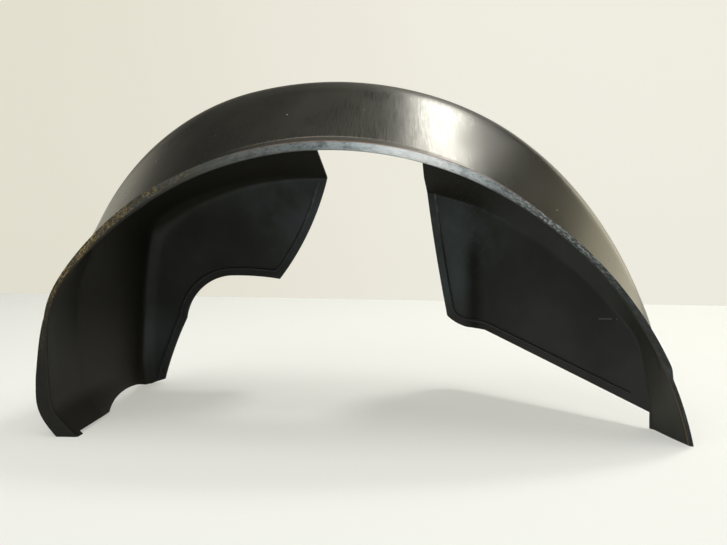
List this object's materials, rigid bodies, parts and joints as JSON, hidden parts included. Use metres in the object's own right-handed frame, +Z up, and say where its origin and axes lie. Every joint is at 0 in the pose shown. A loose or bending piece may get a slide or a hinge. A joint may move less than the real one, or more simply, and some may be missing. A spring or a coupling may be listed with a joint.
{
  "type": "wheel arch liner",
  "caption": "Formed plastic wheel arch liner with a rim flange, a domed roof and an inner wall cut open for the strut.",
  "frame": {"origin": "middle of the bounding box on the floor that the two ends stand on", "axes": "+X along the arch from the broad rounded lobe to the narrow foot, +Y from the rim into the car, +Z up"},
  "size_m": [0.6324, 0.2326, 0.348],
  "materials": {
    "black_plastic": "satin black formed sheet with fine streaks"
  },
  "bodies": {
    "root": {"liner": "black_plastic"}
  },
  "joints": []
}
